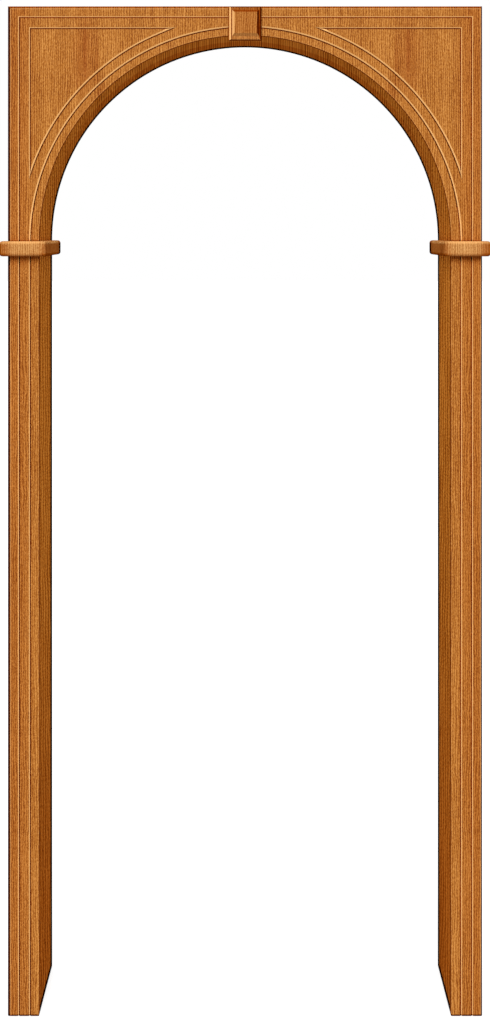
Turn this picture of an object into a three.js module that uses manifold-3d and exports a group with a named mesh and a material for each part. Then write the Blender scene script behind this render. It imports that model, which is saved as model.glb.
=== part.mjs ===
// Doorway arch trim: the face boards, linings, imposts and keystone that dress an arched opening in a wall.
// Millimetres, +Z up. The origin is on the floor, midway between the jambs and midway through the wall.
// The side that carries the routed lines and the keystone faces -Y.
import * as THREE from "three";
import { mergeVertices } from "three/addons/utils/BufferGeometryUtils.js";
import Module from "manifold-3d";

// The opening and the wall that it goes through
const clearWidth = 900; // between the two jambs
const springHeight = 1692; // floor to the springing of the arch, which is also the top of the imposts
const wallThickness = 125; // stud partition that the trim clasps

// Face boards
const boardThickness = 12;
const sideBoardWidth = 68;
const crownMargin = 63; // face left above the crown of the arch
const rebateDepth = 3; // cut into the back of the boards to seat the edges of the linings

// Linings of the reveal
const jambLiningThickness = 10;
const jambTongueThickness = 7; // edges of the jamb linings, thinned from behind to go into the rebates
const vaultLiningThickness = 8; // bent sheet

// Routed lines in the front boards
const grooveWidth = 5;
const grooveDepth = 2.5;
const edgeToGroove = 23; // outer edge of the boards to the middle of the outer line
const grooveSpacing = 24; // outer line to inner line
const spandrelBand = 22; // line that follows the arch to the curved side of the spandrel figure

// Imposts, the bands that wrap the jambs at the springing
const impostHeight = 33;
const impostProjection = 18;
const impostEdgeHeight = 6.5; // height of the rounding along the top and bottom edges
const impostEdgeDepth = 7; // how far that rounding runs back from the face
const impostTopCornerRadius = 4; // corners of the flat top, seen from above

// Keystone, a square block with a raised field
const keystoneWidth = 72;
const keystoneHeight = 73;
const keystoneDrop = 13; // hangs below the crown of the arch
const keystoneBase = 8; // thickness of its square sides
const keystoneBevelWidth = 4.5;
const keystoneBevelRise = 4.5;
const keystoneLand = 3; // narrow flat between the two bevels
const keystoneFieldBevelWidth = 5.5;
const keystoneFieldRise = 5.2; // the raised field above the flat

const glueLine = 0.3; // between any two pieces that are fixed together

// How finely curves are faceted
const archSegments = 60;
const cornerSegments = 6;
const edgeSegments = 4;
const routerSegments = 16;

// Places that follow from the sizes
const openingRadius = clearWidth / 2;
const outerX = openingRadius + sideBoardWidth;
const topHeight = springHeight + openingRadius + crownMargin;
const halfWall = wallThickness / 2;
const faceY = halfWall + boardThickness;
const liningY = halfWall + rebateDepth - glueLine;
const jointHeight = springHeight - impostHeight / 2; // head meets jambs here, behind the imposts
const headFoot = jointHeight + glueLine / 2;
const sideTop = jointHeight - glueLine / 2;
const outerLineX = outerX - edgeToGroove;
const innerLineX = outerLineX - grooveSpacing;
const outerLineZ = topHeight - edgeToGroove;
const innerLineZ = outerLineZ - grooveSpacing;
const spandrelRadius = innerLineX + spandrelBand;
const overcut = grooveWidth; // how far a cutter runs past what it cuts

// Colours of the lacquered beech, sRGB
const faceMaterial = new THREE.MeshStandardMaterial({ color: "#b8702f", roughness: 0.42, metalness: 0 });
const impostMaterial = new THREE.MeshStandardMaterial({ color: "#cb894a", roughness: 0.38, metalness: 0 });
const keystoneMaterial = new THREE.MeshStandardMaterial({ color: "#b97133", roughness: 0.38, metalness: 0 });
const liningMaterial = new THREE.MeshStandardMaterial({ color: "#94551d", roughness: 0.48, metalness: 0 });

const wasm = await Module();
wasm.setup();

// A closed three.js geometry as a solid that can be cut.
function solid(geometry) {
  const bare = new THREE.BufferGeometry();
  bare.setAttribute("position", geometry.getAttribute("position"));
  if (geometry.index) bare.setIndex(geometry.index);
  const merged = mergeVertices(bare);
  const vertProperties = new Float32Array(merged.getAttribute("position").array);
  const triVerts = new Uint32Array(merged.index.array);
  return new wasm.Manifold(new wasm.Mesh({ numProp: 3, vertProperties, triVerts }));
}

// A geometry with other geometries cut away from it.
function cut(geometry, cutters) {
  const left = cutters.reduce((remainder, cutter) => remainder.subtract(solid(cutter)), solid(geometry));
  const { vertProperties, triVerts } = left.getMesh();
  const result = new THREE.BufferGeometry();
  result.setAttribute("position", new THREE.BufferAttribute(vertProperties, 3));
  result.setIndex(new THREE.BufferAttribute(triVerts, 1));
  return result;
}

// A box between two corners, given in any order.
function box(one, other) {
  const bounds = new THREE.Box3().setFromPoints([new THREE.Vector3(...one), new THREE.Vector3(...other)]);
  const size = bounds.getSize(new THREE.Vector3());
  const centre = bounds.getCenter(new THREE.Vector3());
  return new THREE.BoxGeometry(size.x, size.y, size.z).translate(centre.x, centre.y, centre.z);
}

// An outline drawn in the plane of the wall, x across and z up, as a plate from y0 to y1.
function plate(shape, y0, y1) {
  const options = { depth: y1 - y0, bevelEnabled: false, curveSegments: archSegments };
  return new THREE.ExtrudeGeometry(shape, options).rotateX(Math.PI / 2).translate(0, y1, 0);
}

// Turns the triangles of a closed surface to face out, if they face in.
function facingOut(geometry) {
  const position = geometry.getAttribute("position");
  const index = Array.from(geometry.index.array);
  const corner = (i) => new THREE.Vector3().fromBufferAttribute(position, index[i]);
  let volume = 0;
  for (let i = 0; i < index.length; i += 3) {
    volume += corner(i).dot(corner(i + 1).cross(corner(i + 2)));
  }
  return volume < 0 ? geometry.setIndex(index.reverse()) : geometry;
}

// A closed surface through convex rings with as many points each, flat at both ends.
function loft(rings) {
  const count = rings[0].length;
  const last = (rings.length - 1) * count;
  const index = [];
  for (let start = 0; start < last; start += count) {
    for (let i = 0; i < count; i++) {
      const a = start + i;
      const b = start + ((i + 1) % count);
      index.push(a, b, b + count, a, b + count, a + count);
    }
  }
  for (let i = 1; i + 1 < count; i++) {
    index.push(0, i + 1, i, last, last + i, last + i + 1);
  }
  const geometry = new THREE.BufferGeometry();
  geometry.setAttribute("position", new THREE.Float32BufferAttribute(rings.flat(2), 3));
  return facingOut(geometry.setIndex(index));
}

// A line for the router: the points that it passes, each with the unit vector square to its path there.
function straightLine([x0, z0], [x1, z1]) {
  const length = Math.hypot(x1 - x0, z1 - z0);
  const square = { nx: (z1 - z0) / length, nz: (x0 - x1) / length };
  return [
    { x: x0, z: z0, ...square },
    { x: x1, z: z1, ...square },
  ];
}

// The same along an arc about the centre of the arch, anticlockwise between two angles.
function arcLine(radius, from, to) {
  const steps = Math.ceil((archSegments * (to - from)) / Math.PI);
  return Array.from({ length: steps + 1 }, (_, i) => {
    const angle = from + ((to - from) * i) / steps;
    const [nx, nz] = [Math.cos(angle), Math.sin(angle)];
    return { x: radius * nx, z: springHeight + radius * nz, nx, nz };
  });
}

// What a V-shaped bit takes out along such a line, from above the front face to its own depth.
const bitTop = (grooveWidth / 2) * (1 + overcut / grooveDepth);
function routedLine(line) {
  return loft(
    line.map(({ x, z, nx, nz }) => [
      [x - nx * bitTop, -faceY - overcut, z - nz * bitTop],
      [x, -faceY + grooveDepth, z],
      [x + nx * bitTop, -faceY - overcut, z + nz * bitTop],
    ]),
  );
}

// What the bit takes out where its path turns a corner.
function routedCorner([x, z]) {
  const cone = new THREE.ConeGeometry(bitTop, grooveDepth + overcut, routerSegments);
  return cone.translate(x, (grooveDepth - overcut) / 2 - faceY, z);
}

// The line that runs up one jamb, follows the arch and comes down the other.
function archLine() {
  const low = headFoot - overcut;
  const [start] = straightLine([innerLineX, low], [innerLineX, springHeight]);
  const [, end] = straightLine([-innerLineX, springHeight], [-innerLineX, low]);
  return [start, ...arcLine(innerLineX, 0, Math.PI), end];
}

// The line that frames the head on the outside, square at its corners.
function frameLines() {
  const corners = [-1, 1].map((side) => [side * outerLineX, outerLineZ]);
  const uprights = corners.map(([x, z]) => straightLine([x, headFoot - overcut], [x, z]));
  return [...uprights, straightLine(...corners)].map(routedLine).concat(corners.map(routedCorner));
}

// The three-sided figure in one spandrel: upright, level, and concentric with the arch.
function spandrelFigure(side) {
  const low = Math.acos(innerLineX / spandrelRadius);
  const high = Math.asin((innerLineZ - springHeight) / spandrelRadius);
  const [from, to] = side > 0 ? [low, high] : [Math.PI - high, Math.PI - low];
  const corners = [
    [side * innerLineX, springHeight + spandrelRadius * Math.sin(low)],
    [side * innerLineX, innerLineZ],
    [side * spandrelRadius * Math.cos(high), innerLineZ],
  ];
  const lines = [arcLine(spandrelRadius, from, to), straightLine(...corners), straightLine(...corners.slice(1))];
  return lines.map(routedLine).concat(corners.map(routedCorner));
}

// Everything under an arch of that radius, down to that height, as a plate from y0 to y1.
function underArch(radius, foot, y0, y1) {
  const shape = new THREE.Shape();
  shape.moveTo(-radius, foot);
  shape.lineTo(radius, foot);
  shape.absarc(0, springHeight, radius, 0, Math.PI, false);
  return plate(shape, y0, y1);
}

// A head board: straight outside, arched inside, rebated for the vault lining, standing on the side boards.
function headBoard(cutters = []) {
  const low = headFoot - overcut;
  const rebateRadius = openingRadius + vaultLiningThickness + glueLine;
  return cut(box([-outerX, -faceY, headFoot], [outerX, -halfWall, topHeight]), [
    underArch(openingRadius, low, -faceY - overcut, -halfWall + overcut),
    underArch(rebateRadius, low, -halfWall - rebateDepth, -halfWall + overcut),
    ...cutters,
  ]);
}

// A side board, rebated for the jamb lining.
function sideBoard(side, cutters = []) {
  const rebateX = side * (openingRadius + jambLiningThickness + glueLine);
  const inside = side * (openingRadius - overcut);
  return cut(box([side * openingRadius, -faceY, 0], [side * outerX, -halfWall, sideTop]), [
    box([inside, -halfWall - rebateDepth, -overcut], [rebateX, -halfWall + overcut, sideTop + overcut]),
    ...cutters,
  ]);
}

// Two lines up a side board, in line with those of the head.
function sideLines(side) {
  return [outerLineX, innerLineX].map((x) =>
    routedLine(straightLine([side * x, -overcut], [side * x, sideTop + overcut])),
  );
}

// The block over the crown: square sides, a bevel, a narrow flat, and a second bevel up to its field.
function keystone() {
  const bottom = springHeight + openingRadius - keystoneDrop;
  const ring = (inset, height) => {
    const y = -faceY - glueLine - height;
    const [x, z0, z1] = [keystoneWidth / 2 - inset, bottom + inset, bottom + keystoneHeight - inset];
    return [
      [-x, y, z0],
      [x, y, z0],
      [x, y, z1],
      [-x, y, z1],
    ];
  };
  const flatHeight = keystoneBase + keystoneBevelRise;
  const flatInset = keystoneBevelWidth + keystoneLand;
  return loft([
    ring(0, 0),
    ring(0, keystoneBase),
    ring(keystoneBevelWidth, flatHeight),
    ring(flatInset, flatHeight),
    ring(flatInset + keystoneFieldBevelWidth, flatHeight + keystoneFieldRise),
  ]);
}

// A rectangle with round corners, seen from above, at one height.
function roundedRing(centreX, halfX, halfY, radius, z) {
  const quarter = Math.PI / 2;
  const points = [];
  for (let corner = 0; corner < 4; corner++) {
    const middle = (corner + 0.5) * quarter;
    const x = centreX + Math.sign(Math.cos(middle)) * (halfX - radius);
    const y = Math.sign(Math.sin(middle)) * (halfY - radius);
    for (let i = 0; i <= cornerSegments; i++) {
      const angle = (corner + i / cornerSegments) * quarter;
      points.push([x + radius * Math.cos(angle), y + radius * Math.sin(angle), z]);
    }
  }
  return points;
}

// The band round one jamb. It holds the boards and the lining, and is open where the wall comes in.
function impost(side) {
  const centreX = (side * (openingRadius + outerX)) / 2;
  const halfX = sideBoardWidth / 2 + impostProjection;
  const halfY = faceY + impostProjection;
  const rings = [];
  for (let i = 0; i <= edgeSegments; i++) {
    const turn = ((Math.PI / 2) * i) / edgeSegments;
    const inset = impostEdgeDepth * (1 - Math.sin(turn));
    const radius = impostTopCornerRadius + impostEdgeDepth - inset;
    const rise = impostEdgeHeight * (1 - Math.cos(turn));
    const ringAt = (z) => roundedRing(centreX, halfX - inset, halfY - inset, radius, z);
    rings.splice(i, 0, ringAt(springHeight - impostHeight + rise), ringAt(springHeight - rise));
  }
  const [x0, x1] = [side * (openingRadius - glueLine), side * (outerX + glueLine)];
  const beyond = side * (outerX + impostProjection + overcut);
  const [z0, z1] = [springHeight - impostHeight - overcut, springHeight + overcut];
  return cut(loft(rings), [
    box([x0, -faceY - glueLine, z0], [x1, faceY + glueLine, z1]),
    box([x0, -halfWall, z0], [beyond, halfWall, z1]),
  ]);
}

// The sheet bent under the arch, with a short straight end on each side.
function vaultLining() {
  const outside = underArch(openingRadius + vaultLiningThickness, headFoot, -liningY, liningY);
  const clear = underArch(openingRadius, headFoot - overcut, -liningY - overcut, liningY + overcut);
  return cut(outside, [clear]);
}

// The board that lines one jamb, with a tongue along each edge.
function jambLining(side) {
  const outside = side * (openingRadius + jambLiningThickness);
  const tongueBack = side * (openingRadius + jambTongueThickness);
  const cutters = [-1, 1].map((end) => {
    const shoulder = [tongueBack, end * (halfWall - glueLine), -overcut];
    return box(shoulder, [outside + side * overcut, end * (liningY + overcut), sideTop + overcut]);
  });
  return cut(box([side * openingRadius, -liningY, 0], [outside, liningY, sideTop]), cutters);
}

// One piece of the trim.
function piece(name, geometry, material) {
  if (!geometry.getAttribute("normal")) geometry.computeVertexNormals();
  const mesh = new THREE.Mesh(geometry, material);
  mesh.name = name;
  return mesh;
}

const left = -1;
const right = 1;

const front = new THREE.Group();
const headLines = [routedLine(archLine()), ...frameLines(), ...spandrelFigure(left), ...spandrelFigure(right)];
front.add(piece("head_panel_front", headBoard(headLines), faceMaterial));
front.add(piece("pilaster_front_left", sideBoard(left, sideLines(left)), faceMaterial));
front.add(piece("pilaster_front_right", sideBoard(right, sideLines(right)), faceMaterial));
front.add(piece("keystone", keystone(), keystoneMaterial));

// The far side of the wall has the same boards, plain, turned to face it.
const rear = new THREE.Group();
rear.rotation.z = Math.PI;
rear.add(piece("head_panel_rear", headBoard(), faceMaterial));
rear.add(piece("pilaster_rear_left", sideBoard(right), faceMaterial));
rear.add(piece("pilaster_rear_right", sideBoard(left), faceMaterial));

const reveal = new THREE.Group();
reveal.add(piece("vault_lining", vaultLining(), liningMaterial));
reveal.add(piece("jamb_lining_left", jambLining(left), liningMaterial));
reveal.add(piece("jamb_lining_right", jambLining(right), liningMaterial));

const imposts = new THREE.Group();
imposts.add(piece("impost_left", impost(left), impostMaterial));
imposts.add(piece("impost_right", impost(right), impostMaterial));

const archTrim = new THREE.Group();
archTrim.add(front, rear, reveal, imposts);

export default archTrim;
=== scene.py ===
"""Doorway arch trim: lacquered beech boards, linings, imposts and a keystone round an arched opening.

Metres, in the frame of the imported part: the routed side faces -Y and the floor is at z = 0.
"""

import logging
import math
from collections.abc import Iterable, Sequence
from dataclasses import dataclass, field, replace
from enum import Enum

import bmesh
import bpy
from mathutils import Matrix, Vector
from mathutils.geometry import tessellate_polygon

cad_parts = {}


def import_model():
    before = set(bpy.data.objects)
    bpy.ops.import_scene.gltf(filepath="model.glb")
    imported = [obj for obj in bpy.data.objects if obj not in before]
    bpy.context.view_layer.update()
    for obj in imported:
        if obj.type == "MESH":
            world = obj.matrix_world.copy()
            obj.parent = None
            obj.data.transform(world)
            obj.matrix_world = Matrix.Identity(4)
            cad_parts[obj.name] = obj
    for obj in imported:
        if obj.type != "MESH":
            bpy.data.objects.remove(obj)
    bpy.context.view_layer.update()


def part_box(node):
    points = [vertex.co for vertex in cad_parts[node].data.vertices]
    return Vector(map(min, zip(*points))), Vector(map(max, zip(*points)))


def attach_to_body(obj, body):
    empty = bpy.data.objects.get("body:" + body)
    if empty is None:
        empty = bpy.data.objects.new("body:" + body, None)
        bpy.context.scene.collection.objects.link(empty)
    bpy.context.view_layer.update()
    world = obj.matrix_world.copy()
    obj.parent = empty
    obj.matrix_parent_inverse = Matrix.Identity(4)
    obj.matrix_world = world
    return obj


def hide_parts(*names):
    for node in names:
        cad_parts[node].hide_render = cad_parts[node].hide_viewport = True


MM = 0.001
FRAME_WIDTH_PX, FRAME_HEIGHT_PX = 490, 1024
GLUE_LINE = 0.3 * MM
ARCH_STEPS = 96
SPANDREL_ARC_STEPS = 22
MERGE_DECIMALS = 7
CREASE_ANGLE = math.radians(30)
# Numbers of the Mix node's colour sockets, which share their names with those for other data.
MIX_FACTOR, MIX_FIRST, MIX_SECOND, MIX_RESULT = 0, 6, 7, 2
log = logging.getLogger("arch_trim")

Flat = tuple[float, float]
Span = tuple[float, float]


def linear(colour: str) -> tuple[float, float, float, float]:
    """Turns an sRGB hex colour into linear light.

    Args:
        colour: Six hex digits after a hash.

    Returns:
        Red, green, blue and an alpha of one.
    """
    shares = [int(colour[i : i + 2], 16) / 255 for i in (1, 3, 5)]
    light = [c / 12.92 if c <= 0.04045 else ((c + 0.055) / 1.055) ** 2.4 for c in shares]
    return (light[0], light[1], light[2], 1.0)


class Surface(Enum):
    """Which of a piece's two finishes a face takes; the value is its material slot."""

    SHOWN = 0
    BACKING = 1


class Shade(Enum):
    """How a strip looks beside the plain veneer: darker, or paler with a painted highlight."""

    PLAIN = 0.0
    RUBBED = 0.3
    SIDE = -0.3
    EASED = -0.45
    BLACKENED = -1.0
    # The tone of these two depends on the way that the strip faces: a routed wall facing the middle
    # of the doorway takes a painted highlight, the other one painted shade.
    OUTER_ARRIS = "outer arris"
    ROUTED = "routed"


@dataclass(frozen=True)
class Doorway:
    """The lines that every piece follows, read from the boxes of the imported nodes."""

    inner_x: float
    outer_x: float
    top_z: float
    spring_z: float
    joint_z: float
    wall_y: float
    face_y: float
    lining_y: float

    @classmethod
    def from_frame(cls) -> "Doorway":
        """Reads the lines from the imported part.

        Returns:
            The lines.
        """
        side_low, side_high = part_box("pilaster_front_right")
        head_low, head_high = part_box("head_panel_front")
        _, impost_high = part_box("impost_right")
        _, lining_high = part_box("jamb_lining_right")
        return cls(
            inner_x=side_low.x,
            outer_x=side_high.x,
            top_z=head_high.z,
            spring_z=impost_high.z,
            joint_z=(head_low.z + side_high.z) / 2,
            wall_y=-side_high.y,
            face_y=-side_low.y,
            lining_y=lining_high.y,
        )

    @property
    def board_width(self) -> float:
        """Width of a side board."""
        return self.outer_x - self.inner_x

    def outer_path(self, foot: float) -> list[Flat]:
        """The outside of the head, up the left, over the top and down the right, from that height."""
        x, z = self.outer_x, self.top_z
        return [(-x, foot), (-x, z), (x, z), (x, foot)]

    def arch_path(self, foot: float) -> list[Flat]:
        """The opening, up the left, over the arch and down the right, from that height."""
        arc = self.arc(self.inner_x, math.pi, 0.0, ARCH_STEPS)
        return [(-self.inner_x, foot), *arc, (self.inner_x, foot)]

    def arc(self, radius: float, start: float, end: float, steps: int) -> list[Flat]:
        """Points on a circle about the centre of the arch.

        Args:
            radius: Its radius.
            start: Angle of the first point.
            end: Angle of the last point.
            steps: How many chords it has.

        Returns:
            The points, both ends included.
        """
        angles = [start + (end - start) * i / steps for i in range(steps + 1)]
        return [(radius * math.cos(a), self.spring_z + radius * math.sin(a)) for a in angles]


def parallel(path: Sequence[Flat], distance: float, closed: bool = False) -> list[Flat]:
    """Moves a path sideways, with mitred corners.

    Args:
        path: Points in the plane of the wall.
        distance: How far to the right of the direction of travel.
        closed: Whether the last point leads back to the first.

    Returns:
        As many points as the path has.
    """
    count = len(path)
    squares = []
    for i in range(count if closed else count - 1):
        (x0, z0), (x1, z1) = path[i], path[(i + 1) % count]
        length = math.hypot(x1 - x0, z1 - z0)
        squares.append(((z1 - z0) / length, (x0 - x1) / length))
    moved = []
    for i, (x, z) in enumerate(path):
        before = squares[i - 1] if closed or i > 0 else squares[0]
        after = squares[i] if closed or i < count - 1 else squares[-1]
        reach = distance / (1 + before[0] * after[0] + before[1] * after[1])
        moved.append((x + (before[0] + after[0]) * reach, z + (before[1] + after[1]) * reach))
    return moved


@dataclass(frozen=True)
class Station:
    """One point of a board's section, and the strip that ends there."""

    across: float
    y: float
    shade: Shade = Shade.PLAIN
    # A painted highlight along the strip's arris, broken up by the grain's flecks.
    wear: float = 0.0
    surface: Surface = Surface.SHOWN
    drifts: bool = False


@dataclass(frozen=True)
class Strip:
    """How the faces of one strip look."""

    tone: float = 0.0
    # A painted highlight along the arris, broken up by the grain's flecks.
    wear: float = 0.0
    surface: Surface = Surface.SHOWN


@dataclass
class Shell:
    """The closed surface of one piece, gathered point by point, with its grain and its shades."""

    name: str
    points: list[Vector] = field(default_factory=list)
    grain: list[Vector] = field(default_factory=list)
    faces: list[tuple[tuple[int, ...], Strip]] = field(default_factory=list)
    places: dict[tuple[float, ...], int] = field(default_factory=dict)

    def point(self, place: Vector, grain: Vector | None = None) -> int:
        """Adds a point, or finds the one that is there.

        Args:
            place: Where it is.
            grain: Its place in the veneer as across, depth and along, if that isn't its own place.

        Returns:
            The point's index.
        """
        key = tuple(round(c, MERGE_DECIMALS) for c in place)
        if key not in self.places:
            self.places[key] = len(self.points)
            self.points.append(Vector(place))
            self.grain.append(Vector(grain if grain is not None else place))
        return self.places[key]

    def face(self, corners: Iterable[int], strip: Strip) -> None:
        """Adds a face, without the corners that fall together.

        Args:
            corners: Indices of its points in order.
            strip: How it looks.
        """
        kept: list[int] = []
        for corner in corners:
            if not kept or corner != kept[-1]:
                kept.append(corner)
        if len(kept) > 1 and kept[0] == kept[-1]:
            kept.pop()
        if len(kept) > 2:
            self.faces.append((tuple(kept), strip))

    def band(self, first: Sequence[int], second: Sequence[int], strip: Strip) -> None:
        """Joins two rows of points that have as many points each.

        Args:
            first: Indices of one row.
            second: Indices of the other row.
            strip: How the faces look.
        """
        for i in range(len(first) - 1):
            self.face((first[i], first[i + 1], second[i + 1], second[i]), strip)

    def fill(self, loops: Sequence[Sequence[int]], strip: Strip) -> None:
        """Fills a flat region with triangles.

        Args:
            loops: The outline, and then the outlines of its holes, as indices of points.
            strip: How it looks.
        """
        order = [index for loop in loops for index in loop]
        for triangle in tessellate_polygon([[self.points[i] for i in loop] for loop in loops]):
            self.face([order[i] for i in triangle], strip)

    def build(self, finishes: Sequence[bpy.types.Material], turned: bool = False) -> bpy.types.Object:
        """Makes the mesh object.

        Args:
            finishes: A material for each value of Surface.
            turned: Whether the piece is turned round to face the far side of the wall.

        Returns:
            The object, linked to the scene.
        """
        turn = -1 if turned else 1
        mesh = bpy.data.meshes.new(self.name)
        places = [(turn * p.x, turn * p.y, p.z) for p in self.points]
        mesh.from_pydata(places, [], [corners for corners, _ in self.faces])
        for finish in finishes:
            mesh.materials.append(finish)
        # Each face holds its tone, which carries painted shade, painted highlights and darker edges, and its
        # painted highlight along an arris.
        tone = mesh.attributes.new("tone", "FLOAT", "FACE")
        wear = mesh.attributes.new("wear", "FLOAT", "FACE")
        for i, (_, strip) in enumerate(self.faces):
            tone.data[i].value = strip.tone
            wear.data[i].value = strip.wear
            mesh.polygons[i].material_index = strip.surface.value
        grain = mesh.attributes.new("grain", "FLOAT_VECTOR", "POINT")
        grain.data.foreach_set("vector", [c for g in self.grain for c in g])
        self.face_out(mesh)
        mesh.shade_smooth()
        mesh.set_sharp_from_angle(angle=CREASE_ANGLE)
        piece = bpy.data.objects.new(self.name, mesh)
        bpy.context.scene.collection.objects.link(piece)
        weighted = piece.modifiers.new("even_shading", "WEIGHTED_NORMAL")
        weighted.keep_sharp = True
        return piece

    @staticmethod
    def face_out(mesh: bpy.types.Mesh) -> None:
        """Turns every face of a closed mesh outwards.

        Args:
            mesh: The mesh.
        """
        work = bmesh.new()
        work.from_mesh(mesh)
        bmesh.ops.recalc_face_normals(work, faces=work.faces)
        work.to_mesh(mesh)
        work.free()


def add_node(tree: bpy.types.NodeTree, kind: str, settings: dict[str, object],
             inputs: dict[str | int, object]) -> bpy.types.Node:
    """Adds a node with its settings and links.

    Args:
        tree: The node tree.
        kind: The node's type.
        settings: Values for the node's own properties.
        inputs: For each input, by name or number, a socket to link or a value to set.

    Returns:
        The node.
    """
    node = tree.nodes.new(kind)
    for name, value in settings.items():
        setattr(node, name, value)
    for name, value in inputs.items():
        if isinstance(value, bpy.types.NodeSocket):
            tree.links.new(value, node.inputs[name])
        else:
            node.inputs[name].default_value = value
    return node


def new_material(name: str) -> tuple[bpy.types.Material, bpy.types.NodeTree, bpy.types.Node]:
    """Makes an empty material.

    Args:
        name: Its name.

    Returns:
        The material, its node tree and its Principled shader, which is linked to the output.
    """
    material = bpy.data.materials.new(name)
    material.use_nodes = True
    tree = material.node_tree
    tree.nodes.clear()
    shader = add_node(tree, "ShaderNodeBsdfPrincipled", {}, {})
    add_node(tree, "ShaderNodeOutputMaterial", {}, {"Surface": shader.outputs["BSDF"]})
    return material, tree, shader


def compute(tree: bpy.types.NodeTree, operation: str, *values: bpy.types.NodeSocket | float,
            clamp: bool = False) -> bpy.types.NodeSocket:
    """Adds one step of arithmetic.

    Args:
        tree: The node tree.
        operation: The Math node's operation.
        values: What it works on, in order.
        clamp: Whether the result is kept between 0 and 1.

    Returns:
        The result.
    """
    settings = {"operation": operation, "use_clamp": clamp}
    return add_node(tree, "ShaderNodeMath", settings, dict(enumerate(values))).outputs[0]


def remap(tree: bpy.types.NodeTree, value: bpy.types.NodeSocket, span: Span, result: Span = (0.0, 1.0),
          smooth: bool = False) -> bpy.types.NodeSocket:
    """Maps one span of values onto another, with nothing beyond its ends.

    Args:
        tree: The node tree.
        value: The value.
        span: Start and end of the span that it is read on.
        result: What the start and the end become.
        smooth: Whether it eases in and out.

    Returns:
        The mapped value.
    """
    node = add_node(tree, "ShaderNodeMapRange", {"interpolation_type": "SMOOTHSTEP" if smooth else "LINEAR"},
                    {"Value": value, "From Min": span[0], "From Max": span[1], "To Min": result[0],
                     "To Max": result[1]})
    return node.outputs["Result"]


def blend(tree: bpy.types.NodeTree, kind: str, share: bpy.types.NodeSocket | float,
          first: bpy.types.NodeSocket | Sequence[float],
          second: bpy.types.NodeSocket | Sequence[float]) -> bpy.types.NodeSocket:
    """Blends two colours.

    Args:
        tree: The node tree.
        kind: MIX, or MULTIPLY for a stain over the first colour.
        share: How much of the second colour.
        first: The first colour.
        second: The second colour.

    Returns:
        The colour.
    """
    node = add_node(tree, "ShaderNodeMix", {"data_type": "RGBA", "blend_type": kind},
                    {MIX_FACTOR: share, MIX_FIRST: first, MIX_SECOND: second})
    return node.outputs[MIX_RESULT]


def face_value(tree: bpy.types.NodeTree, name: str) -> bpy.types.NodeSocket:
    """Reads a value that the mesh holds for each face."""
    return add_node(tree, "ShaderNodeAttribute", {"attribute_name": name}, {}).outputs["Fac"]


@dataclass(frozen=True)
class Figure:
    """A long pointed patch of redder wood in the veneer, in metres from the foot of the middle."""

    centre: tuple[float, float, float]
    half_size: tuple[float, float, float]
    strength: float


# The patches in the right spandrel, which the other leaf of veneer mirrors.
SPANDREL_FIGURES = (
    Figure(centre=(0.354, 0.0, 2.095), half_size=(0.034, 1.0, 0.11), strength=0.45),
    Figure(centre=(0.353, 0.0, 2.105), half_size=(0.006, 1.0, 0.075), strength=0.55),
    Figure(centre=(0.327, 0.0, 2.085), half_size=(0.005, 1.0, 0.085), strength=0.4),
    Figure(centre=(0.315, 0.0, 2.015), half_size=(0.014, 1.0, 0.045), strength=0.4),
)


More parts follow.
